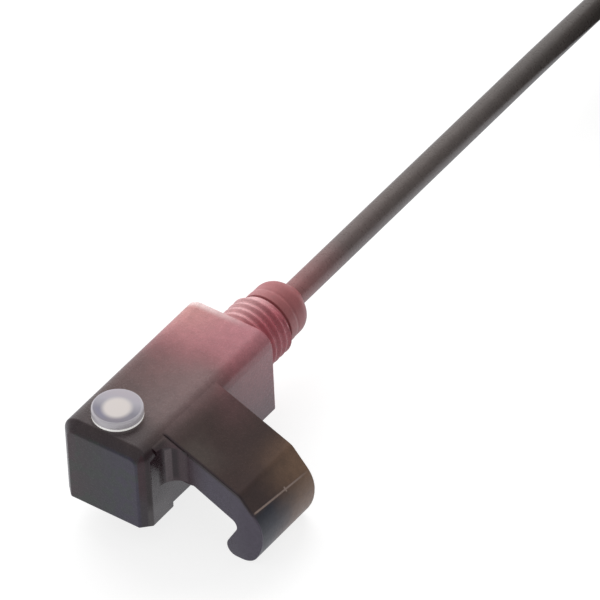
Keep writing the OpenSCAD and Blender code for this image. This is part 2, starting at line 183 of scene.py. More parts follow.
def add(tree, kind, values=None, **settings):
    """New node with its settings, and its inputs set to numbers or linked to sockets."""
    node = tree.nodes.new(kind)
    for key, value in settings.items():
        setattr(node, key, value)
    for key, value in (values or {}).items():
        if isinstance(value, bpy.types.NodeSocket):
            tree.links.new(value, node.inputs[key])
        else:
            node.inputs[key].default_value = value
    return node


def calc(tree, operation, a, b=0.0):
    """Result of a calculation with one or two numbers or sockets."""
    return add(tree, "ShaderNodeMath", {0: a, 1: b}, operation=operation).outputs[0]


def plus(tree, a, b):
    return calc(tree, "ADD", a, b)


def minus(tree, a, b):
    return calc(tree, "SUBTRACT", a, b)


def product(tree, *factors):
    result = factors[0]
    for factor in factors[1:]:
        result = calc(tree, "MULTIPLY", result, factor)
    return result


def flat_length(tree, a, b):
    """Length of the flat vector (a, b)."""
    return calc(tree, "SQRT", plus(tree, product(tree, a, a), product(tree, b, b)))


def spread(tree, value, low, high, out_low=0.0, out_high=1.0, smooth=True):
    """A value carried from one range to another, held at its ends."""
    kind = "SMOOTHSTEP" if smooth else "LINEAR"
    return add(tree, "ShaderNodeMapRange", {
        "Value": value, "From Min": low, "From Max": high, "To Min": out_low, "To Max": out_high,
    }, interpolation_type=kind).outputs["Result"]


def blend(tree, factor, a, b, mode="MIX"):
    """Mixed colour of two colours or sockets."""
    node = add(tree, "ShaderNodeMix", {"Factor": factor}, data_type="RGBA", blend_type=mode)
    for index, value in ((6, a), (7, b)):
        if isinstance(value, bpy.types.NodeSocket):
            tree.links.new(value, node.inputs[index])
        else:
            node.inputs[index].default_value = (*value, 1)
    return node.outputs[2]


def ramp(tree, value, stops, interpolation="B_SPLINE"):
    """Colour ramp through (position, colour) stops."""
    node = add(tree, "ShaderNodeValToRGB", {"Fac": value})
    node.color_ramp.interpolation = interpolation
    while len(node.color_ramp.elements) < len(stops):
        node.color_ramp.elements.new(0.5)
    for element, (position, colour) in zip(node.color_ramp.elements, stops):
        element.position = position
        element.color = (*colour, 1)
    return node.outputs["Color"]


def design_axes(tree):
    """The point being shaded in design millimetres: its vector and its x, y and z."""
    point = add(tree, "ShaderNodeTexCoord").outputs["Object"]
    shifted = add(tree, "ShaderNodeVectorMath", {0: point, 1: tuple(ZERO)}, operation="SUBTRACT")
    scaled = add(tree, "ShaderNodeVectorMath", {0: shifted.outputs[0], "Scale": 1 / MM}, operation="SCALE")
    axes = add(tree, "ShaderNodeSeparateXYZ", {0: scaled.outputs[0]})
    return scaled.outputs[0], axes.outputs[0], axes.outputs[1], axes.outputs[2]


def noise(tree, point, scale, detail=3.0):
    return add(tree, "ShaderNodeTexNoise", {
        "Vector": point, "Scale": scale, "Detail": detail, "Roughness": 0.55}).outputs["Fac"]


def grained(tree, point, colour, scale, amount):
    """Colour with small steps of brightness in wider clouds and fine grains."""
    levels = [spread(tree, noise(tree, point, size, detail), 0.3, 0.7, 1 - amount, 1 + amount, smooth=False)
              for size, detail in ((scale, 4.0), (scale * 5, 2.0))]
    level = product(tree, *levels)
    grey = add(tree, "ShaderNodeCombineColor", {0: level, 1: level, 2: level}).outputs[0]
    return blend(tree, 1.0, colour, grey, "MULTIPLY")


def bump(tree, height, strength, distance=0.00005):
    return add(tree, "ShaderNodeBump", {
        "Height": height, "Strength": strength, "Distance": distance}).outputs["Normal"]


def material(name, build, **constants):
    """New material. build links the nodes, and constants set plain sockets of its shader."""
    made = bpy.data.materials.new(name)
    made.use_nodes = True
    tree = made.node_tree
    shader = tree.nodes["Principled BSDF"]
    for key, value in constants.items():
        shader.inputs[key.replace("_", " ")].default_value = value
    build(tree, shader)
    return made


def connect(tree, shader, **sockets):
    for key, socket in sockets.items():
        tree.links.new(socket, shader.inputs[key.replace("_", " ")])


# Materials. Their places are given by x, y and z in design millimetres.

# Colours along the block, front to rear: near black, then maroon, then rose, a painted reddish glow that
# grows towards the rear
BODY_GLOW_STOPS = [
    (0.00, (0.046, 0.036, 0.042)),
    (0.20, (0.068, 0.047, 0.043)),
    (0.40, (0.098, 0.058, 0.056)),
    (0.54, (0.145, 0.072, 0.071)),
    (0.66, (0.225, 0.085, 0.092)),
    (0.80, (0.340, 0.125, 0.142)),
    (1.00, (0.425, 0.162, 0.188)),
]
# Colours across the front face: reddish at the left, bluish at the right
FRONT_STOPS = [
    (0.06, (0.072, 0.044, 0.052)),
    (0.26, (0.050, 0.042, 0.045)),
    (0.50, (0.046, 0.044, 0.052)),
    (0.75, (0.050, 0.043, 0.074)),
    (1.00, (0.052, 0.043, 0.072)),
]
# Painted soft highlight on the block's top, from its middle to its rounded right edge
TOP_HIGHLIGHT_COLOUR = (0.190, 0.125, 0.125)
# Painted reddish glow at the block's rear left, and a painted highlight along its top rear edge
REAR_LEFT_GLOW_COLOUR, REAR_RIM_HIGHLIGHT_COLOUR = (0.530, 0.254, 0.232), (0.90, 0.76, 0.75)
FOOT_COLOUR = (0.044, 0.037, 0.047)
FRONT_PATCH_COLOUR, FRONT_EDGE_COLOUR = (0.042, 0.056, 0.046), (0.048, 0.020, 0.027)
# Right wall's front: painted light from the floor at its foot, painted shade under the arm
WALL_FOOT_LIGHT_COLOUR, WALL_SHADE_COLOUR = (0.098, 0.092, 0.092), (0.016, 0.010, 0.010)
# Stub: painted reddish glow, lighter where painted light falls on its upper left
STUB_GLOW_COLOUR, STUB_LIT_ROSE = (0.410, 0.105, 0.128), (0.700, 0.420, 0.430)
ARM_COLOUR, ARM_ROOT_COLOUR = (0.045, 0.025, 0.022), (0.100, 0.045, 0.047)
ARM_FRONT_COLOUR, ARM_HOOK_SHADE_COLOUR = (0.066, 0.049, 0.042), (0.016, 0.018, 0.030)
ARM_FACE_ROOT_COLOUR, ARM_FACE_COLOUR = (0.066, 0.037, 0.045), (0.078, 0.064, 0.096)
ARM_BACK_COLOUR, ARM_EDGE_SHADE_COLOUR = (0.170, 0.098, 0.058), (0.028, 0.015, 0.018)
SEAM_HIGHLIGHT_COLOUR = (0.270, 0.200, 0.170)
# Painted shade in the corner at the web, and a painted highlight down its fillet
WEB_SHADE_COLOUR, WEB_HIGHLIGHT_COLOUR = (0.022, 0.008, 0.012), (0.108, 0.080, 0.087)


def block_colour(tree, point, x, y, z, along):
    """Colour of the block, with its painted glow, highlights and shade. along is y with a slow wave in it."""
    colour = ramp(tree, spread(tree, along, 0, BLOCK_LENGTH, smooth=False), BODY_GLOW_STOPS)
    # Painted soft highlight on the top's middle and right
    middle = product(tree, spread(tree, x, 3, 9), spread(tree, x, 12.0, 10.4), spread(tree, y, 3, 8),
                     spread(tree, y, 18, 14))
    colour = blend(tree, product(tree, middle, 0.5), colour, TOP_HIGHLIGHT_COLOUR)
    # Painted reddish glow at the rear left, and a painted highlight along the top rear edge
    rear_left_glow = product(tree, spread(tree, y, 15, 25), spread(tree, x, 9, -1), spread(tree, z, 3, 11))
    colour = blend(tree, rear_left_glow, colour, REAR_LEFT_GLOW_COLOUR)
    rim_highlight = product(tree, spread(tree, y, 22.8, 23.9), spread(tree, x, 10, 1), spread(tree, z, 9, 11))
    colour = blend(tree, product(tree, rim_highlight, 0.8), colour, REAR_RIM_HIGHLIGHT_COLOUR)
    foot = product(tree, spread(tree, z, 10.5, -2), 0.86)
    colour = blend(tree, foot, colour, FOOT_COLOUR)
    # Front face, with faint greenish patches, and its right edge
    front = ramp(tree, spread(tree, x, 0, BLOCK_WIDTH, smooth=False), FRONT_STOPS)
    patches = product(tree, spread(tree, noise(tree, point, 0.5, 4.0), 0.47, 0.6), 0.6)
    front = blend(tree, patches, front, FRONT_PATCH_COLOUR)
    colour = blend(tree, spread(tree, y, 0.3, 0.1), colour, front)
    edge = product(tree, spread(tree, y, 0.1, 0.2), spread(tree, y, 0.95, 0.85), spread(tree, x, 10.5, 10.7),
                   spread(tree, z, 3, 6))
    colour = blend(tree, edge, colour, FRONT_EDGE_COLOUR)
    # Front of the right wall: painted light from the floor towards its foot, and painted shade under the arm
    # above it
    wall = product(tree, spread(tree, y, 5.0, 3.5), spread(tree, y, 0.6, 0.8), spread(tree, x, 11.0, 11.4))
    shade = blend(tree, spread(tree, z, 1.8, 3.9), WALL_FOOT_LIGHT_COLOUR, WALL_SHADE_COLOUR)
    return blend(tree, wall, colour, shade)


def seam_highlight_line(tree, x, y, z):
    """The mould's parting line across the arm's back, with a small tick, painted as the light highlight that
    its small ledge catches.
    """
    front_height, fall, tick_y = 4.81, 0.064, 10.5
    height = minus(tree, z, minus(tree, front_height, product(tree, y, fall)))
    away = calc(tree, "ABSOLUTE", height)
    line = product(tree, spread(tree, away, 0.13, 0.03), spread(tree, y, 15.2, 12.0))
    tick = product(tree, spread(tree, away, 0.3, 0.18),
                   spread(tree, calc(tree, "ABSOLUTE", minus(tree, y, tick_y)), 0.16, 0.05))
    return product(tree, calc(tree, "MAXIMUM", line, tick), spread(tree, x, 20.6, 21.2),
                   spread(tree, y, 4.9, 5.4))


def arm_colour(tree, x, y, z, along):
    """Colour of the arm: redder at its root's rear, olive at its back's rear, bluish on its front face, with
    painted shade at the hook's front and the parting line's painted highlight.
    """
    root = product(tree, spread(tree, x, 18.0, 11.5), spread(tree, along, 9, 14))
    colour = blend(tree, root, ARM_COLOUR, ARM_ROOT_COLOUR)
    front = product(tree, spread(tree, along, 9.5, 5), spread(tree, x, 12, 14), spread(tree, x, 19, 15))
    colour = blend(tree, front, colour, ARM_FRONT_COLOUR)
    back = product(tree, spread(tree, x, 17.5, 22.5), spread(tree, along, 6, 15))
    colour = blend(tree, back, colour, ARM_BACK_COLOUR)
    # Painted shade, darker at the hook's front, that offsets its bright reflection
    hook = product(tree, spread(tree, x, 22.3, 23.0), spread(tree, along, 11, 6))
    colour = blend(tree, hook, colour, ARM_HOOK_SHADE_COLOUR)
    face = blend(tree, spread(tree, x, 13, 17), ARM_FACE_ROOT_COLOUR, ARM_FACE_COLOUR)
    colour = blend(tree, spread(tree, y, 5.05, 4.85), colour, face)
    return blend(tree, seam_highlight_line(tree, x, y, z), colour, SEAM_HIGHLIGHT_COLOUR)


def with_corner_shade(tree, colour, x, y, z):
    """Painted shade on the web in the corner and on the wall beside it, with a painted highlight down the
    middle of the web's fillet.
    """
    corner = plus(tree, x, y)
    above = spread(tree, plus(tree, z, product(tree, y, 0.87)), 8.8, 9.5)
    below = spread(tree, plus(tree, z, product(tree, y, 0.4)), 11.7, 11.2)
    web = product(tree, spread(tree, y, 0.7, 1.0), spread(tree, y, 4.81, 4.76),
                  spread(tree, x, 10.7, 11.1), spread(tree, corner, 17.8, 17.0), above, below)
    colour = blend(tree, web, colour, WEB_SHADE_COLOUR)
    fillet_highlight = product(tree, spread(tree, corner, 15.2, 15.45), spread(tree, corner, 16.6, 16.3),
                     spread(tree, z, 10.0, 9.6), spread(tree, z, 5.02, 5.06), spread(tree, y, 3.1, 3.2),
                     spread(tree, y, 4.7, 4.6))
    return blend(tree, fillet_highlight, colour, WEB_HIGHLIGHT_COLOUR)


def arm_edge_shade(tree, x, y, z):
    """Painted shade: a dark line along the upper edge of the arm's front face, from the block to the hook's
    back.
    """
    root_x, root_z, top_fall = 10.29, 10.89, 0.418
    shoulder_x, shoulder_z, back_fall = 20.8, 6.5, 1.19
    top = minus(tree, root_z, product(tree, minus(tree, x, root_x), top_fall))
    back = minus(tree, shoulder_z, product(tree, minus(tree, x, shoulder_x), back_fall))
    under = minus(tree, calc(tree, "MINIMUM", top, back), z)
    return product(tree, spread(tree, under, 0.6, 0.25), spread(tree, y, 5.15, 4.95),
                   spread(tree, y, 4.6, 4.75), spread(tree, x, 10.5, 11.3), spread(tree, x, 23.2, 22.0))


def housing_plastic(tree, shader):
    point, x, y, z = design_axes(tree)
    waves = spread(tree, noise(tree, point, 0.22, 2.0), 0.3, 0.7, -1.0, 1.0, smooth=False)
    along = plus(tree, y, waves)
    colour = block_colour(tree, point, x, y, z, along)
    # Stub, in the painted reddish glow, and lighter on its upper left where light is painted
    stub = blend(tree, product(tree, spread(tree, x, 8.4, 3.6), spread(tree, z, 4, 8)),
                 STUB_GLOW_COLOUR, STUB_LIT_ROSE)
    colour = blend(tree, spread(tree, y, 23.6, 24.3), colour, stub)
    arm = arm_colour(tree, x, y, z, along)
    colour = blend(tree, spread(tree, x, BLOCK_WIDTH - 0.8, BLOCK_WIDTH + 1.6), colour, arm)
    colour = with_corner_shade(tree, colour, x, y, z)
    colour = blend(tree, arm_edge_shade(tree, x, y, z), colour, ARM_EDGE_SHADE_COLOUR)
    colour = grained(tree, point, colour, 1.3, 0.10)
    height = plus(tree, noise(tree, point, 9.0, 3.0), noise(tree, point, 2.5, 2.0))
    # Rougher on the arm's back
    rough = plus(tree, spread(tree, noise(tree, point, 3.0), 0.3, 0.7, 0.22, 0.30, smooth=False),
                 spread(tree, x, 19, 22, 0.0, 0.2))
    connect(tree, shader, Base_Color=colour, Roughness=rough, Normal=bump(tree, height, 0.35, 0.00002))


# Gland: painted reddish glow, lighter where painted light falls on its upper left
GLAND_GLOW_COLOUR = (0.320, 0.100, 0.105)
GLAND_LIT_COLOUR, NOSE_LIT_COLOUR = (0.450, 0.195, 0.205), (0.405, 0.145, 0.152)


def gland_plastic(tree, shader):
    """Painted reddish glow, with painted light making it lighter on its upper left, and less so on the nose.
    """
    point, x, y, z = design_axes(tree)
    lit_side = blend(tree, spread(tree, y, 31.8, 33.0), GLAND_LIT_COLOUR, NOSE_LIT_COLOUR)
    colour = blend(tree, product(tree, spread(tree, x, 6.8, 2.8), spread(tree, z, 4, 7.5)),
                   GLAND_GLOW_COLOUR, lit_side)
    connect(tree, shader, Base_Color=grained(tree, point, colour, 1.0, 0.07),
            Normal=bump(tree, noise(tree, point, 8.0), 0.3, 0.00002))


# Colours along the jacket, which is redder beside the gland from a painted reddish glow
JACKET_GLOW_STOPS = [
    (0.00, (0.270, 0.110, 0.110)),
    (0.08, (0.215, 0.108, 0.106)),
    (0.20, (0.125, 0.094, 0.090)),
    (0.40, (0.102, 0.083, 0.077)),
    (1.00, (0.088, 0.077, 0.072)),
]


def jacket(tree, shader):
    point, _, y, _ = design_axes(tree)
    colour = ramp(tree, spread(tree, y, 35, 85, smooth=False), JACKET_GLOW_STOPS, "LINEAR")
    connect(tree, shader, Base_Color=grained(tree, point, colour, 0.8, 0.07),
            Roughness=spread(tree, noise(tree, point, 2.0), 0.3, 0.7, 0.25, 0.33, smooth=False),
            Normal=bump(tree, noise(tree, point, 6.0), 0.3, 0.00002))


# Colours of the lens's clear ring, rear to front: painted light through it that darkens towards the front
LENS_RING_LIGHT_STOPS = [
    (0.00, (0.41, 0.37, 0.41)),
    (0.30, (0.38, 0.36, 0.40)),
    (0.70, (0.21, 0.20, 0.24)),
    (1.00, (0.22, 0.20, 0.235)),
]
LENS_CRESCENT_SHADE_COLOUR, LENS_MIDDLE_COLOUR = (0.205, 0.195, 0.255), (0.63, 0.58, 0.56)
# Painted light on the lens's side, and a painted highlight and glow on the line round its foot
LENS_EDGE_COLOUR, LENS_SIDE_LIGHT_COLOUR = (0.45, 0.43, 0.465), (0.70, 0.67, 0.71)
LENS_FOOT_HIGHLIGHT_COLOUR, LENS_FOOT_GLOW = (0.95, 0.94, 0.92), (1, 0.98, 0.95)


def lens_plastic(tree, shader):
    """Milky middle in a clear ring, with painted light through the ring that darkens towards the front,
    painted bluish shade at its front left, a lighter side and a painted bright line round the foot.
    """
    _, x, y, z = design_axes(tree)
    across = minus(tree, x, LENS_X)
    along = minus(tree, y, LENS_Y)
    radius = flat_length(tree, across, along)
    front = minus(tree, product(tree, across, 0.36), along)
    clear = ramp(tree, spread(tree, front, -2.4, 2.4, smooth=False), LENS_RING_LIGHT_STOPS, "LINEAR")
    # Painted bluish shade at the ring's front left
    lean_x, lean_y = -0.44, -0.90
    towards = plus(tree, product(tree, across, lean_x), product(tree, along, lean_y))
    aside = plus(tree, product(tree, across, -lean_y), product(tree, along, lean_x))
    crescent = product(tree, spread(tree, towards, 1.3, 2.1),
                       spread(tree, calc(tree, "ABSOLUTE", aside), 1.7, 0.5), spread(tree, radius, 2.6, 2.35))
    clear = blend(tree, crescent, clear, LENS_CRESCENT_SHADE_COLOUR)
    # The milky middle lies deeper than the ring, which shows it a little nearer to the front right
    inner = flat_length(tree, minus(tree, across, 0.17), plus(tree, along, 0.26))
    colour = blend(tree, spread(tree, inner, 2.0, 1.2), clear, LENS_MIDDLE_COLOUR)
    colour = blend(tree, spread(tree, radius, 2.62, 2.76), colour, LENS_EDGE_COLOUR)
    # Painted highlight and glow: a bright line round the foot
    foot = product(tree, spread(tree, z, BLOCK_HEIGHT + 0.34, BLOCK_HEIGHT + 0.2),
                   spread(tree, radius, 2.8, 2.88))
    # Painted light on the side
    colour = blend(tree, spread(tree, radius, 2.72, 2.89), colour, LENS_SIDE_LIGHT_COLOUR)
    colour = blend(tree, foot, colour, LENS_FOOT_HIGHLIGHT_COLOUR)
    connect(tree, shader, Base_Color=colour, Emission_Color=blend(tree, foot, (0, 0, 0), LENS_FOOT_GLOW))


def speckled(colour, other, scale):
    """Even material of two close colours, in grains of the given scale per millimetre."""
    def build(tree, shader):
        point = design_axes(tree)[0]
        mixed = blend(tree, spread(tree, noise(tree, point, scale), 0.35, 0.65), colour, other)
        connect(tree, shader, Base_Color=mixed, Normal=bump(tree, noise(tree, point, scale * 2), 0.2))
    return build


def make_materials():
    made = {
        "housing_plastic": material("housing_plastic", housing_plastic),
        "gland_plastic": material("gland_plastic", gland_plastic, Roughness=0.4),
        "jacket": material("jacket", jacket),
        # The lens's emission is a painted glow on the bright line round its foot
        "lens": material("lens", lens_plastic, Roughness=0.22, Emission_Strength=0.4, Subsurface_Weight=0.15,
                         Subsurface_Radius=(0.6, 0.55, 0.6), Subsurface_Scale=MM),
    }
    # Even finishes: two close colours, their grains per millimetre, roughness and metallic
    plain = {
        "potting_resin": ((0.016, 0.015, 0.015), (0.024, 0.021, 0.020), 1.5, 0.25, 0),
        "board": ((0.010, 0.090, 0.035), (0.014, 0.110, 0.045), 2.0, 0.4, 0),
        "led": ((0.80, 0.78, 0.70), (0.70, 0.68, 0.62), 2.0, 0.4, 0),
        "chip": ((0.018, 0.018, 0.019), (0.026, 0.025, 0.025), 4.0, 0.5, 0),
        "ceramic": ((0.42, 0.30, 0.20), (0.48, 0.35, 0.24), 3.0, 0.45, 0),
        "resistor": ((0.02, 0.02, 0.02), (0.05, 0.05, 0.05), 3.0, 0.4, 0),
        "tin": ((0.62, 0.62, 0.63), (0.74, 0.74, 0.75), 6.0, 0.28, 1),
        "core_brown": ((0.120, 0.045, 0.022), (0.140, 0.055, 0.028), 3.0, 0.4, 0),
        "core_blue": ((0.015, 0.070, 0.330), (0.020, 0.085, 0.380), 3.0, 0.4, 0),
        "core_black": ((0.014, 0.014, 0.014), (0.022, 0.022, 0.022), 3.0, 0.4, 0),
        "crimp_steel": ((0.50, 0.50, 0.50), (0.60, 0.60, 0.60), 5.0, 0.35, 1),
        "seal_rubber": ((0.020, 0.020, 0.020), (0.030, 0.030, 0.030), 3.0, 0.6, 0),
        "tie": ((0.022, 0.022, 0.022), (0.034, 0.034, 0.034), 2.5, 0.42, 0),
    }
    for name, (colour, other, scale, roughness, metallic) in plain.items():
        made[name] = material(name + "_finish", speckled(colour, other, scale),
                              Roughness=roughness, Metallic=metallic)
    return made


def dress_nodes(finishes):
    """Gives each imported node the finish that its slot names."""
    for node in nodes.values():
        for slot in node.material_slots:
            name = slot.material.name.split(".")[0]
            if name in finishes:
                slot.material = finishes[name]


# Mesh building blocks

ROUND_SIDES = 96


def mesh_object(name, mesh, smooth=True):
    data = bpy.data.meshes.new(name)
    mesh.to_mesh(data)
    mesh.free()
    made = bpy.data.objects.new(name, data)
    bpy.context.collection.objects.link(made)
    if smooth:
        data.shade_smooth()
    return made


def settle(obj):
    """Applies the modifiers of a new piece."""
    graph = bpy.context.evaluated_depsgraph_get()
    data = bpy.data.meshes.new_from_object(obj.evaluated_get(graph))
    obj.modifiers.clear()
    obj.data = data


def finish_piece(obj, finish, replaced, sharp=28):
    """The piece's shading and finish, and the node that it stands for. sharp is in degrees."""
    obj.data.materials.clear()
    obj.data.materials.append(finish)
    obj.data.shade_smooth()
    obj.data.set_sharp_from_angle(angle=math.radians(sharp))
    weighted = obj.modifiers.new("weighted", "WEIGHTED_NORMAL")
    weighted.keep_sharp = True
    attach(obj, "root")
    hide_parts(replaced)
    return obj


def join_rings(mesh, rings, closed):
    """Faces between neighbouring rings of vertices. A ring of one vertex is a pole."""
    pairs = list(zip(rings, rings[1:]))
    if closed:
        pairs.append((rings[-1], rings[0]))
    for one, two in pairs:
        sides = max(len(one), len(two))
        for k in range(sides):
            j = (k + 1) % sides
            if len(one) == 1:
                corners = (one[0], two[j], two[k])
            elif len(two) == 1:
                corners = (one[k], one[j], two[0])
            else:
                corners = (one[k], one[j], two[j], two[k])
            mesh.faces.new(corners)
    bmesh.ops.recalc_face_normals(mesh, faces=mesh.faces)


def join_and_cap(mesh, rings):
    """Body of rings with a flat face at both ends."""
    join_rings(mesh, rings, False)
    mesh.faces.new(rings[0][::-1])
    mesh.faces.new(rings[-1])
    bmesh.ops.recalc_face_normals(mesh, faces=mesh.faces)


def turned(name, profile, spot, closed):
    """Profile of (radius, distance) turned about an axis. spot gives the point at a radius and angle."""
    mesh = bmesh.new()
    rings = []
    for radius, distance in profile:
        count = ROUND_SIDES if radius > 1e-6 else 1
        rings.append([mesh.verts.new(spot(radius, 2 * math.pi * k / ROUND_SIDES, distance))
                      for k in range(count)])
    join_rings(mesh, rings, closed)
    return mesh_object(name, mesh)


def rounded_path(corners, steps):
    """Closed path whose corners (a, b, radius) are replaced by arcs of a few points."""
    path = []
    for i, (a, b, radius) in enumerate(corners):
        here = Vector((a, b))
        before = Vector(corners[i - 1][:2])
        after = Vector(corners[(i + 1) % len(corners)][:2])
        if radius <= 0:
            path.append((a, b))
            continue
        inward, outward = (before - here).normalized(), (after - here).normalized()
        half = inward.angle(outward) / 2
        run = radius / math.tan(half)
        centre = here + (inward + outward).normalized() * radius / math.sin(half)
        start, end = here + inward * run - centre, here + outward * run - centre
        sweep = start.angle_signed(end)
        for k in range(steps + 1):
            turn = -sweep * k / steps
            spun = Vector((start.x * math.cos(turn) - start.y * math.sin(turn),
                           start.x * math.sin(turn) + start.y * math.cos(turn)))
            path.append(tuple(centre + spun))
    return path


def rounded_rectangle(low_a, high_a, low_b, high_b, radius, steps):
    """Path round a rectangle with rounded corners."""
    corners = ((low_a, low_b), (high_a, low_b), (high_a, high_b), (low_a, high_b))
    return rounded_path([(a, b, radius) for a, b in corners], steps)


def tube(mesh, route, radius_at, sides):
    """Round tube along a route of points, closed at both ends."""
    rings = []
    for i, point in enumerate(route):
        ahead = (route[min(i + 1, len(route) - 1)] - route[max(i - 1, 0)]).normalized()
        across = ahead.cross(Vector((0, 0, 1))).normalized()
        up = across.cross(ahead)
        radius = radius_at(i / (len(route) - 1))
        rings.append([mesh.verts.new(point + radius * (
            math.cos(2 * math.pi * k / sides) * across + math.sin(2 * math.pi * k / sides) * up))
            for k in range(sides)])
    join_and_cap(mesh, rings)


# Housing: rounded edges and a moulded thread

THREAD_START, THREAD_PITCH, THREAD_FADE = 24.02, 1.0, 0.6
THREAD_CREST, THREAD_ROOT, NECK_RADIUS = 3.99, 3.66, 3.5
# The thread ends on a slant, furthest forward at this bearing in degrees
THREAD_END, THREAD_END_TILT, THREAD_END_BEARING = 29.75, 0.3, 146
THREAD_ROWS, CUTTER_RADIUS = 14, 4.7
# Radii of the rounded edges. The foot's is the widest, and the bevel's weights are shares of it.
FOOT_ROUNDING, BLOCK_ROUNDING, ARM_ROUNDING = 0.3, 0.15, 0.09


def edge_rounding(a, b):
    """Radius in millimetres for the sharp edge between two points of the design."""
    middle = (a + b) / 2
    in_pocket = 1.0 < middle.x < 10.4 and 1.3 < middle.y < 22.9 and middle.z < 10.2
    in_lens_seat = math.hypot(middle.x - LENS_X, middle.y - LENS_Y) < 3.1 and middle.z > 9
    on_stub = middle.y > 23.9 and math.hypot(middle.x - STUB_AXIS_X, middle.z - STUB_AXIS_Z) < 4.2
    at_web = 10.3 < middle.x < 14.2 and 2.2 < middle.y < 4.9 and middle.z > 3.3
    at_arm_root = 9 < middle.x < BLOCK_WIDTH + 0.15 and 4.6 < middle.y < 14.9 and middle.z > 0.01
    before_web = middle.x > 10.9 and 0.8 < middle.y < 2.4 and middle.z > 9.5
    if in_pocket or in_lens_seat or on_stub or at_web or before_web or at_arm_root or middle.y > 24.1:
        return 0
    on_block = middle.x < BLOCK_WIDTH + 0.1
    behind_arm = middle.x > 10.9 and middle.y > 14
    if on_block and max(a.z, b.z) < 0.01 and not behind_arm:
        return FOOT_ROUNDING
    return BLOCK_ROUNDING if on_block else ARM_ROUNDING


def thread_radius(y, angle):
    """Radius of the helical surface, whose groove fades in at the block and whose crest ends at the neck."""
    phase = (y / THREAD_PITCH - angle / (2 * math.pi)) % 1
    groove = 0.5 - 0.5 * math.cos(2 * math.pi * phase)
    depth = (THREAD_CREST - THREAD_ROOT) * ease(y, THREAD_START, THREAD_START + THREAD_FADE)
    end = THREAD_END - THREAD_END_TILT * math.cos(angle - math.radians(THREAD_END_BEARING))
    crest = THREAD_CREST - depth * groove
    return crest + (NECK_RADIUS - crest) * ease(y, end - 0.1, end + 0.25)


def thread_cutter():
    """Sleeve round the stub, whose inner surface is the thread."""
    mesh = bmesh.new()
    length = STUB_END + 0.2 - THREAD_START
    rows = round(length / THREAD_PITCH * THREAD_ROWS)

    def ring(y, radius_at):
        made = []
        for k in range(ROUND_SIDES):
            a = 2 * math.pi * k / ROUND_SIDES
            r = radius_at(a)
            made.append(mesh.verts.new(place(STUB_AXIS_X + r * math.cos(a), y,
                                             STUB_AXIS_Z + r * math.sin(a))))
        return made

    rings = [ring(THREAD_START, lambda a: CUTTER_RADIUS)]
    for i in range(rows + 1):
        y = THREAD_START + length * i / rows
        rings.append(ring(y, lambda a: thread_radius(y, a)))
    rings.append(ring(THREAD_START + length, lambda a: CUTTER_RADIUS))
    join_rings(mesh, rings, True)
    return mesh_object("thread_cutter", mesh)


def sharpen_web(housing):
    """Keeps the low step between the web, the block and the arm crisp."""
    mesh = bmesh.new()
    mesh.from_mesh(housing.data)
    for edge in mesh.edges:
        a, b = ((v.co - ZERO) / MM for v in edge.verts)
        beside = min(a.x, b.x) > 9.4 and max(a.x, b.x) < 14.5 and min(a.y, b.y) > 2.1 and max(a.y, b.y) < 5
        if beside and len(edge.link_faces) == 2 and edge.calc_face_angle() > math.radians(12):
            edge.smooth = False
    mesh.to_mesh(housing.data)
    mesh.free()


def make_housing(finish):
    """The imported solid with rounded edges, and with the thread cut into its stub."""
    mesh = bmesh.new()
    mesh.from_mesh(nodes["housing"].data)
    bmesh.ops.remove_doubles(mesh, verts=mesh.verts, dist=0.03 * MM)
    bmesh.ops.dissolve_limit(mesh, angle_limit=math.radians(0.3), verts=mesh.verts, edges=mesh.edges)
    weights = mesh.edges.layers.float.new("bevel_weight_edge")
    for edge in mesh.edges:
        if len(edge.link_faces) == 2 and edge.calc_face_angle() > math.radians(25):
            a, b = ((v.co - ZERO) / MM for v in edge.verts)
            edge[weights] = edge_rounding(a, b) / FOOT_ROUNDING
    housing = mesh_object("housing_moulding", mesh, smooth=False)
    bevel = housing.modifiers.new("rounding", "BEVEL")
    bevel.limit_method = "WEIGHT"
    bevel.width = FOOT_ROUNDING * MM
    bevel.segments = 3
    bevel.use_clamp_overlap = False
    bevel.loop_slide = False
    settle(housing)
    cutter = thread_cutter()
    cut = housing.modifiers.new("thread", "BOOLEAN")
    cut.operation = "DIFFERENCE"
    cut.solver = "EXACT"
    cut.object = cutter
    settle(housing)
    bpy.data.objects.remove(cutter)
    finish_piece(housing, finish, "housing")
    sharpen_web(housing)


# Lens and gland

def make_lens(finish):
    """Clear cap with a soft upper edge over its light guide."""
    guide_radius, guide_foot, seat = 2.1, 5.6, BLOCK_HEIGHT - 0.5
    profile = [(0, guide_foot), (guide_radius, guide_foot), (guide_radius, seat), (LENS_RADIUS, seat)]
    edge_width, edge_height, dome, steps = 0.18, 0.34, 0.04, 8
    for k in range(steps):
        a = math.radians(90 * k / steps)
        profile.append((LENS_RADIUS - edge_width * (1 - math.cos(a)),
                        LENS_TOP - dome - edge_height * (1 - math.sin(a))))
    reach = LENS_RADIUS - edge_width
    for k in range(steps, -1, -1):
        profile.append((reach * k / steps, LENS_TOP - dome * (k / steps) ** 2))
    lens = turned("signal_lens", profile, lambda r, a, z: place(
        LENS_X + r * math.cos(a), LENS_Y + r * math.sin(a), z), False)
    finish_piece(lens, finish, "led_lens", 40)


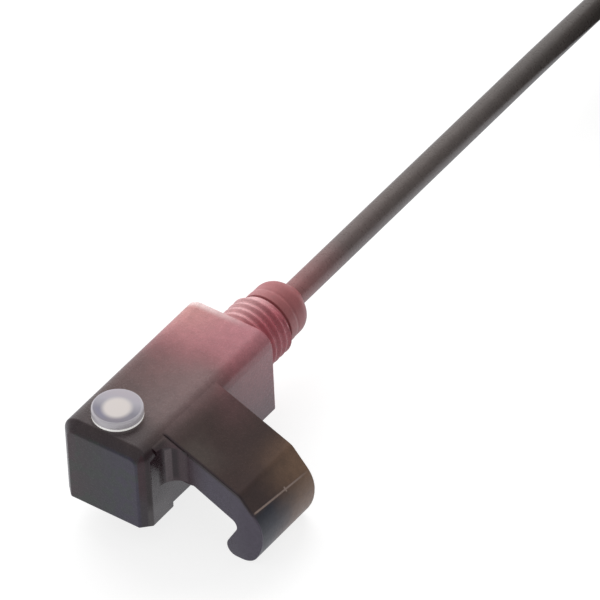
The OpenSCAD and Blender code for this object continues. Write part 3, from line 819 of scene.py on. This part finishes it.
def make_gland(finish):
    """Sleeve, collar and nose with soft grooves."""
    bore, sleeve, groove, collar, soft_groove, nose = CABLE_DIAMETER / 2, 2.6, 3.2, 3.5, 3.4, 3.45
    profile = rounded_path([
        (bore, GLAND_BACK, 0), (sleeve, GLAND_BACK, 0), (sleeve, STUB_END, 0), (groove, STUB_END, 0),
        (groove, STUB_END + 0.28, 0.08), (collar, STUB_END + 0.34, 0.12), (collar, STUB_END + 1.36, 0.9),
        (soft_groove, STUB_END + 1.64, 0.5), (nose, STUB_END + 1.92, 0.9),
        (nose, GLAND_MOUTH - 1.65, 2), (bore + 0.12, GLAND_MOUTH, 0.1), (bore, GLAND_MOUTH, 0),
    ], 8)
    gland = turned("cable_entry", profile, lambda r, a, y: place(
        STUB_AXIS_X + r * math.cos(a), y, STUB_AXIS_Z + r * math.sin(a)), True)
    finish_piece(gland, finish, "cable_gland", 50)


# Ties, cores and their tips

# Bearings from the coil's middle to the middles of the ties
TIE_ANGLES = (122, 307)
TIE_WIDTH = 3.6
# The strap's outer side: its distances from the coil's middle, and its height
STRAP_NEAR, STRAP_FAR, STRAP_HEIGHT, STRAP_THICKNESS = 8.3, 21.6, 19.2, 0.6


def make_tie(number, angle, finish):
    """Strap round the coil's section, with its head in the coil's middle."""
    away = Vector((math.cos(math.radians(angle)), math.sin(math.radians(angle)), 0))
    aside = Vector((-away.y, away.x, 0))
    middle = Vector((*COIL_CENTRE, 0))

    def spot(radial, height, across):
        return (middle + away * radial + aside * across + Vector((0, 0, height))) * MM

    mesh = bmesh.new()
    outer = rounded_rectangle(STRAP_NEAR, STRAP_FAR, 0, STRAP_HEIGHT, 1.6, 8)
    inner = rounded_rectangle(STRAP_NEAR + 0.52, STRAP_FAR - STRAP_THICKNESS,
                              STRAP_THICKNESS, STRAP_HEIGHT - STRAP_THICKNESS, 1.1, 8)
    half, round_off = TIE_WIDTH / 2, 0.12
    loops = []
    for path, edge_path, across in ((outer, None, -half + round_off), (outer, None, half - round_off),
                                    (outer, inner, half), (inner, None, half), (inner, None, -half),
                                    (outer, inner, -half)):
        loop = []
        for i, (radial, height) in enumerate(path):
            if edge_path:
                towards = Vector(edge_path[i]) - Vector((radial, height))
                radial, height = Vector((radial, height)) + towards.normalized() * round_off
            loop.append(mesh.verts.new(spot(radial, height, across)))
        loops.append(loop)
    join_rings(mesh, loops, True)
    # Head, towards the coil's middle: its depths, and the share of its width and height at each
    mid_height, wide, tall, shrink = STRAP_HEIGHT / 2, 2.6, 2.3, 0.4
    head = rounded_rectangle(-wide, wide, -tall, tall, 0.5, 4)
    levels = ((8.35, 1, 1), (5.3, 1, 1), (4.9, 1 - shrink / tall, 1 - shrink / wide))
    join_and_cap(mesh, [[mesh.verts.new(spot(depth, mid_height + b * height, a * width)) for a, b in head]
                        for depth, width, height in levels])
    # Tongue, upward out of the head: its heights, and the share of its width at each
    tongue = rounded_rectangle(-1.7, 1.7, -0.45, 0.45, 0.2, 3)
    tongue_depth, levels = 6.6, ((mid_height, 1), (14.0, 1), (15.2, 0.6))
    join_and_cap(mesh, [[mesh.verts.new(spot(tongue_depth + b, height, a * width)) for a, b in tongue]
                        for height, width in levels])
    tie = mesh_object(f"bundle_strap_{number}", mesh)
    return finish_piece(tie, finish, f"coil_tie_{number}", 35)


CORE_NAMES = ("brown", "blue", "black")
CORE_DIAMETER, CORE_PITCH = 0.86, 1.04
LEAD_LENGTH, LEAD_SPREAD, LEAD_DROOP = 14.0, 14.0, 0.95
TIP_LENGTH, TIP_TURNS = 5.0, 1.1
STRANDS_ROUND, STRAND_RADIUS, STRAND_OFFSET = 6, 0.075, 0.15


def lead_point(k, t):
    """Point of a free core in millimetres: out of the jacket's end, spreading, down to the surface."""
    before, end = (Vector(p) for p in cable_points()[-2:])
    ahead = end - before
    bearing = math.atan2(ahead.y, ahead.x)
    a = bearing + math.radians((k - 1) * LEAD_SPREAD * t)
    side = Vector((-math.sin(bearing), math.cos(bearing), 0)) * (k - 1) * CORE_PITCH
    drop = (CABLE_DIAMETER - CORE_DIAMETER) / 2 * min(1, t / LEAD_DROOP)
    return end + side + Vector((math.cos(a), math.sin(a), 0)) * LEAD_LENGTH * t - Vector((0, 0, drop))


def make_lead(k, finish):
    """Free core, a little narrower at its very end."""
    mesh = bmesh.new()
    steps, taper, taper_length = 24, 0.06, 0.04
    route = [lead_point(k, i / steps) * MM for i in range(steps + 1)]
    tube(mesh, route, lambda t: CORE_DIAMETER / 2 * MM * (
        1 - taper * max(0, t - (1 - taper_length)) / taper_length), 20)
    lead = mesh_object(f"core_{CORE_NAMES[k]}_line", mesh)
    return finish_piece(lead, finish, f"lead_{CORE_NAMES[k]}", 50)


def make_tip(k, finish):
    """Strands twisted round a middle one, tinned together."""
    start, before = lead_point(k, 1), lead_point(k, 0.98)
    ahead = (start - before).normalized()
    across = ahead.cross(Vector((0, 0, 1))).normalized()
    up = across.cross(ahead)
    mesh = bmesh.new()
    steps = 30
    for strand in range(STRANDS_ROUND + 1):
        out = STRAND_OFFSET if strand < STRANDS_ROUND else 0
        route = []
        for i in range(steps + 1):
            t = i / steps
            a = 2 * math.pi * (strand / STRANDS_ROUND + TIP_TURNS * t)
            spiral = (across * math.cos(a) + up * math.sin(a)) * out
            route.append((start + ahead * (TIP_LENGTH * t) + spiral) * MM)
        tube(mesh, route, lambda t: STRAND_RADIUS * MM * (1 if t < 0.97 else 0.7), 8)
    tip = mesh_object(f"strands_{CORE_NAMES[k]}", mesh)
    return finish_piece(tip, finish, f"tip_{CORE_NAMES[k]}", 60)


# Stage

def make_floor():
    """White floor. In reflections it is a little bluish, and brighter at the right rear."""
    half = 3.0
    mesh = bmesh.new()
    corners = ((-half, -half), (half, -half), (half, half), (-half, half))
    mesh.faces.new([mesh.verts.new((x, y, 0)) for x, y in corners])
    floor = mesh_object("floor", mesh, smooth=False)
    made = bpy.data.materials.new("floor")
    made.use_nodes = True
    tree = made.node_tree
    tree.nodes.clear()
    path = add(tree, "ShaderNodeLightPath").outputs
    seen = calc(tree, "MAXIMUM", path["Is Camera Ray"], path["Is Transmission Ray"])
    bounce = add(tree, "ShaderNodeBsdfDiffuse", {"Color": (0.8, 0.8, 0.8, 1)}).outputs[0]
    shade = add(tree, "ShaderNodeBsdfDiffuse", {"Color": (0.28, 0.28, 0.28, 1)}).outputs[0]
    glow = add(tree, "ShaderNodeEmission", {"Color": (1, 1, 1, 1), "Strength": 0.80}).outputs[0]
    white = add(tree, "ShaderNodeAddShader", {0: shade, 1: glow}).outputs[0]
    _, x, y, _ = design_axes(tree)
    side = product(tree, spread(tree, x, 6, 14), spread(tree, y, 1, 6), spread(tree, y, 30, 50, 0.5, 1.0))
    level = plus(tree, 0.74, product(tree, side, 0.65))
    mirrored = add(tree, "ShaderNodeEmission", {"Color": (0.96, 0.96, 1, 1), "Strength": level}).outputs[0]
    mixed = add(tree, "ShaderNodeMixShader", {0: seen, 1: bounce, 2: white}).outputs[0]
    mixed = add(tree, "ShaderNodeMixShader", {0: path["Is Glossy Ray"], 1: mixed, 2: mirrored}).outputs[0]
    add(tree, "ShaderNodeOutputMaterial", {"Surface": mixed})
    floor.data.materials.append(made)


def make_world():
    """Soft light for matt surfaces, and for glossy ones a sky that is bright behind and to the left."""
    world = bpy.data.worlds.new("studio")
    bpy.context.scene.world = world
    world.use_nodes = True
    tree = world.node_tree
    tree.nodes.clear()
    direction = add(tree, "ShaderNodeTexCoord").outputs["Generated"]
    axes = add(tree, "ShaderNodeSeparateXYZ", {0: direction}).outputs
    path = add(tree, "ShaderNodeLightPath").outputs
    behind = product(tree, spread(tree, axes[0], 0.55, -0.45), spread(tree, axes[1], -0.3, 0.5))
    glossy = plus(tree, 0.28, product(tree, behind, 0.6))
    level = add(tree, "ShaderNodeMix", {"Factor": path["Is Glossy Ray"], "A": 0.5, "B": glossy}).outputs[0]
    level = add(tree, "ShaderNodeMix", {"Factor": path["Is Camera Ray"], "A": level, "B": 1.0}).outputs[0]
    back = add(tree, "ShaderNodeBackground", {"Color": (1, 1, 1, 1), "Strength": level}).outputs[0]
    add(tree, "ShaderNodeOutputWorld", {"Surface": back})


def make_lamp(name, direction, distance, size, power):
    """Area lamp aimed at the part. Glossy surfaces show the sky in its place."""
    data = bpy.data.lights.new(name, "AREA")
    data.shape = "RECTANGLE"
    data.size, data.size_y = size
    data.energy = power
    lamp = bpy.data.objects.new(name, data)
    lamp.visible_glossy = False
    towards = Vector(direction).normalized()
    target = Vector((0, 0, 0.007))
    lamp.location = target + towards * distance
    lamp.rotation_euler = towards.to_track_quat("Z", "Y").to_euler()
    bpy.context.collection.objects.link(lamp)


bpy.context.scene.view_settings.view_transform = "Standard"
finishes = make_materials()
make_camera()
dress_nodes(finishes)
make_housing(finishes["housing_plastic"])
make_lens(finishes["lens"])
make_gland(finishes["gland_plastic"])
ties = [make_tie(k + 1, angle, finishes["tie"]) for k, angle in enumerate(TIE_ANGLES)]
leads = [make_lead(k, finishes["core_" + name]) for k, name in enumerate(CORE_NAMES)]
tips = [make_tip(k, finishes["tin"]) for k in range(len(CORE_NAMES))]
make_cable(finishes["jacket"])
make_floor()
make_world()
make_lamp("key", direction=(-0.55, 0.55, 0.63), distance=0.9, size=(0.9, 0.7), power=9.0)
